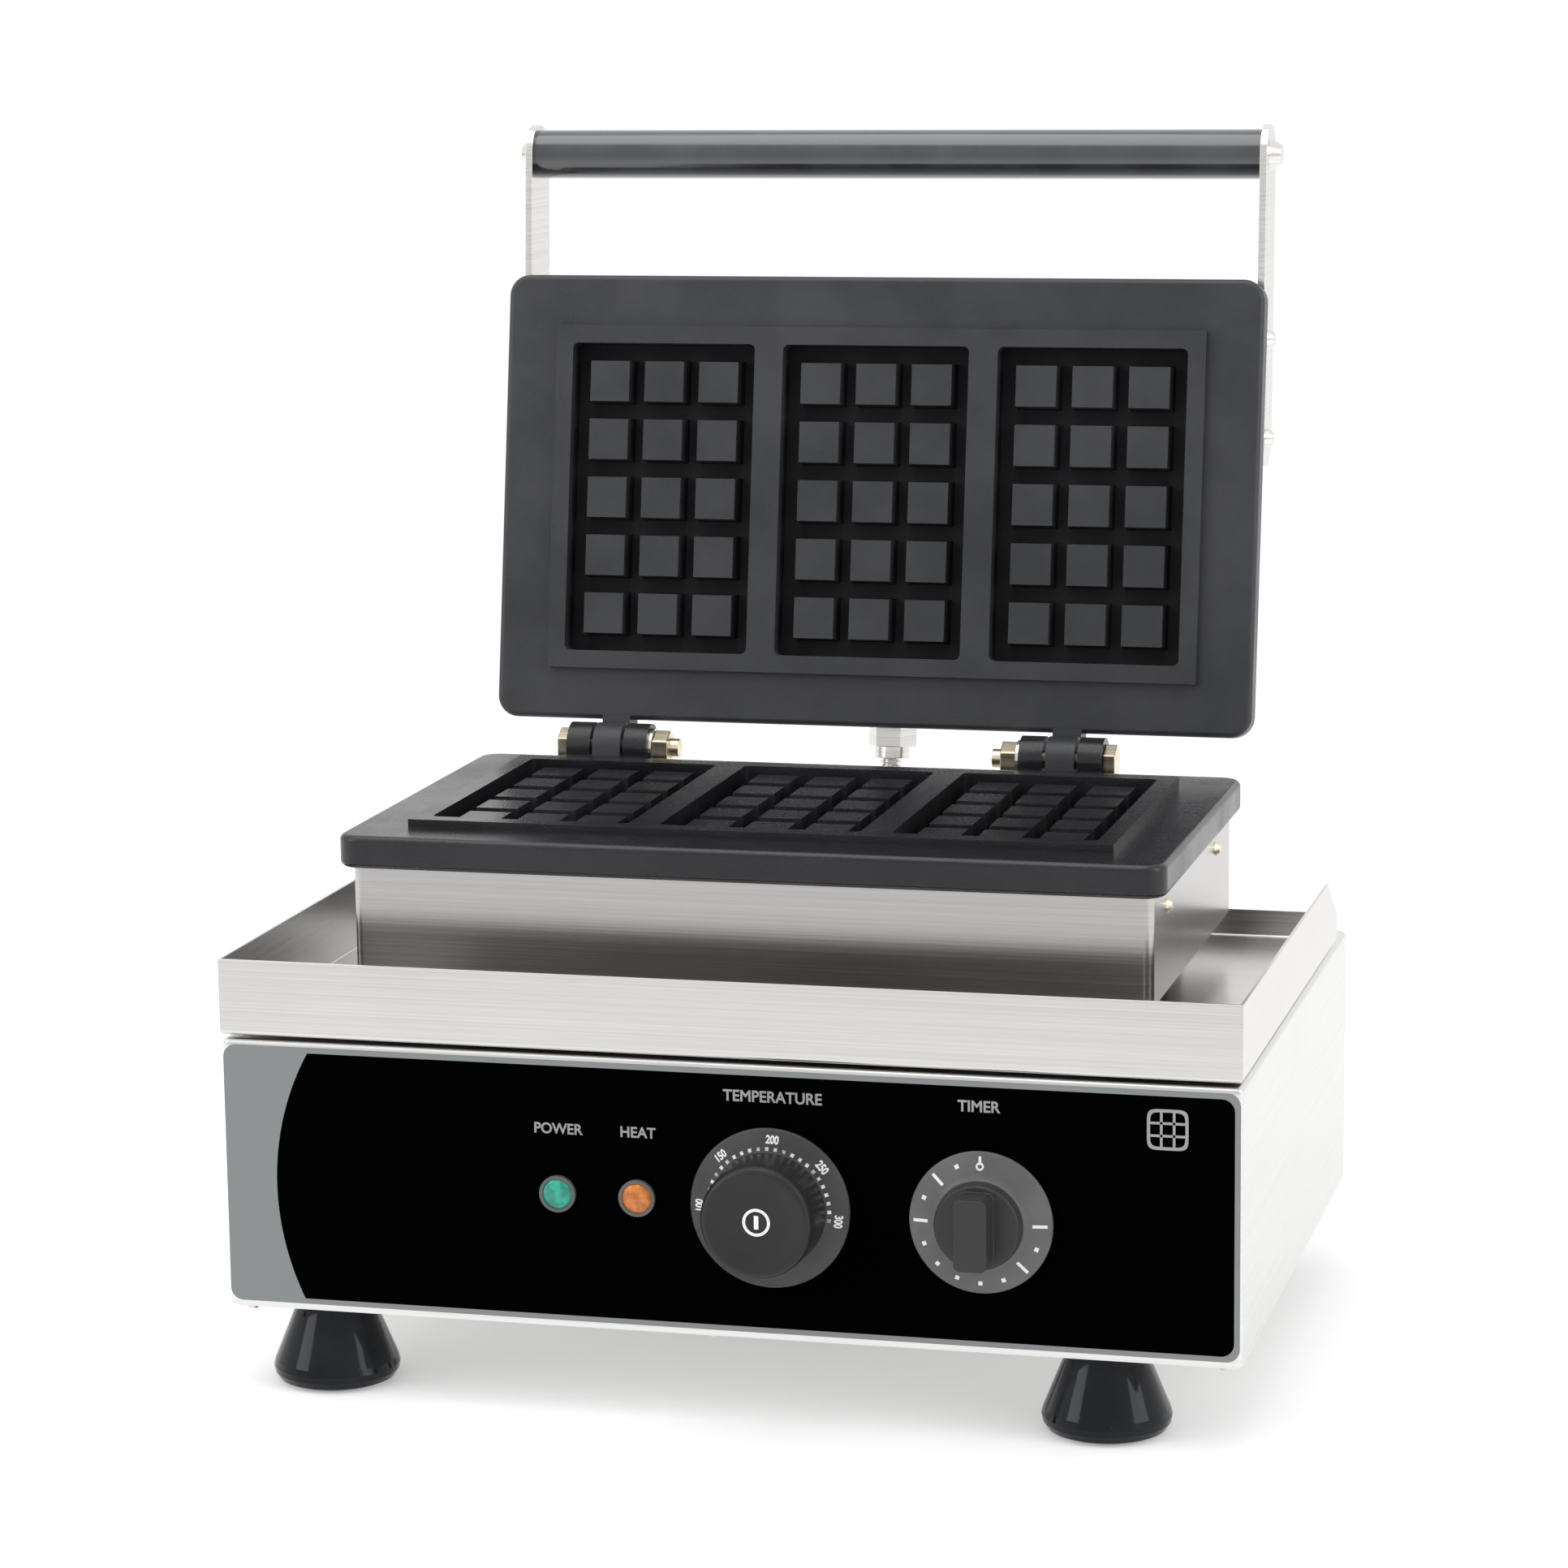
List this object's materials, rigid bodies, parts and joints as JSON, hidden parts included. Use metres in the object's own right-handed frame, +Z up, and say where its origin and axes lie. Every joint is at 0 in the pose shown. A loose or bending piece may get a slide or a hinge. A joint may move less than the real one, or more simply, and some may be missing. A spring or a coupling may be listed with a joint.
{
  "type": "waffle maker",
  "caption": "Countertop waffle maker: hinged cast waffle plates on a steel pedestal, drip tray, control casing with two dials and two lamps, tapered feet.",
  "frame": {"origin": "on the worktop, below the middle of the machine's bounding box with the lid open", "axes": "+X to the right seen from the front, +Y to the back, +Z up"},
  "size_m": [0.4, 0.3485, 0.4798],
  "materials": {
    "brushed_shell": "fine brushed stainless sheet",
    "polished_steel": "smooth bright stainless steel",
    "bolt_steel": "zinc-plated steel",
    "cast_plate": "seasoned cast iron, semi-matte dark grey",
    "black_gloss": "glossy black phenolic",
    "knob_black": "satin black plastic with white marks",
    "label_black": "printed black panel film with a grey edge",
    "lens_green": "translucent green lens",
    "lens_orange": "translucent orange lens",
    "lamp_plastic": "moulded lamp body",
    "bezel_black": "black lamp bezel",
    "heater_steel": "heater tube, dulled by heat",
    "insulation": "ceramic fibre board",
    "fibre_washer": "dark fibre",
    "brass": "plain brass",
    "terminal_plastic": "ivory moulded plastic"
  },
  "bodies": {
    "base": {"casing_shell": "brushed_shell", "rear_panel": "brushed_shell", "bottom_cover": "brushed_shell", "drip_tray": "brushed_shell", "tray_washers": "fibre_washer", "pedestal_spacers": "bolt_steel", "pedestal_bolts": "bolt_steel", "pedestal_nuts": "bolt_steel", "wiring_sleeve": "bolt_steel", "pedestal_housing": "brushed_shell", "pedestal_screws": "brass", "lower_plate": "cast_plate", "lower_heating_element": "heater_steel", "lower_heater_clamps": "bolt_steel", "lower_clamp_bolts": "bolt_steel", "lower_insulation": "insulation", "thermostat_bulb": "brass", "thermostat_body": "bolt_steel", "timer_body": "bolt_steel", "control_label": "label_black", "power_lamp_lens": "lens_green", "heat_lamp_lens": "lens_orange", "lamp_bezels": "bezel_black", "lamp_bodies": "lamp_plastic", "terminal_block": "terminal_plastic", "cord_gland": "bezel_black", "conduit_bushing": "bolt_steel", "flexible_conduit": "polished_steel", "hinge_bolts": "bolt_steel", "hinge_nuts": "bolt_steel", "hinge_washers": "bolt_steel", "front_left_foot": "black_gloss", "front_right_foot": "black_gloss", "rear_left_foot": "black_gloss", "rear_right_foot": "black_gloss", "foot_screws": "bolt_steel", "foot_nuts": "bolt_steel", "rear_panel_screws": "bolt_steel", "bottom_cover_screws": "bolt_steel"},
    "lid": {"upper_plate": "cast_plate", "upper_housing": "brushed_shell", "upper_housing_screws": "polished_steel", "upper_heating_element": "heater_steel", "upper_heater_clamps": "bolt_steel", "upper_clamp_bolts": "bolt_steel", "upper_insulation": "insulation", "left_handle_arm": "polished_steel", "right_handle_arm": "polished_steel", "handle_grip": "black_gloss", "handle_rod": "bolt_steel", "handle_end_screws": "polished_steel", "arm_screws": "polished_steel", "arm_nuts": "bolt_steel", "upper_conduit_gland": "bolt_steel"},
    "temperature_dial": {"temperature_knob": "knob_black", "thermostat_spindle": "bolt_steel"},
    "timer_dial": {"timer_knob": "knob_black", "timer_spindle": "bolt_steel"}
  },
  "joints": [
    {"name": "lid_hinge", "type": "hinge", "parent": "base", "child": "lid", "pos_m": [0, 0.0882, 0.2189], "axis": [1, 0, 0], "range_deg": [0, 99.8], "deforming": ["flexible_conduit"]},
    {"name": "temperature_knob_turn", "type": "hinge", "parent": "base", "child": "temperature_dial", "pos_m": [0.0204, -0.15, 0.0871], "axis": [0, 1, 0], "range_deg": [0, 270]},
    {"name": "timer_knob_turn", "type": "hinge", "parent": "base", "child": "timer_dial", "pos_m": [0.1019, -0.15, 0.0862], "axis": [0, 1, 0], "range_deg": [0, 270]}
  ]
}
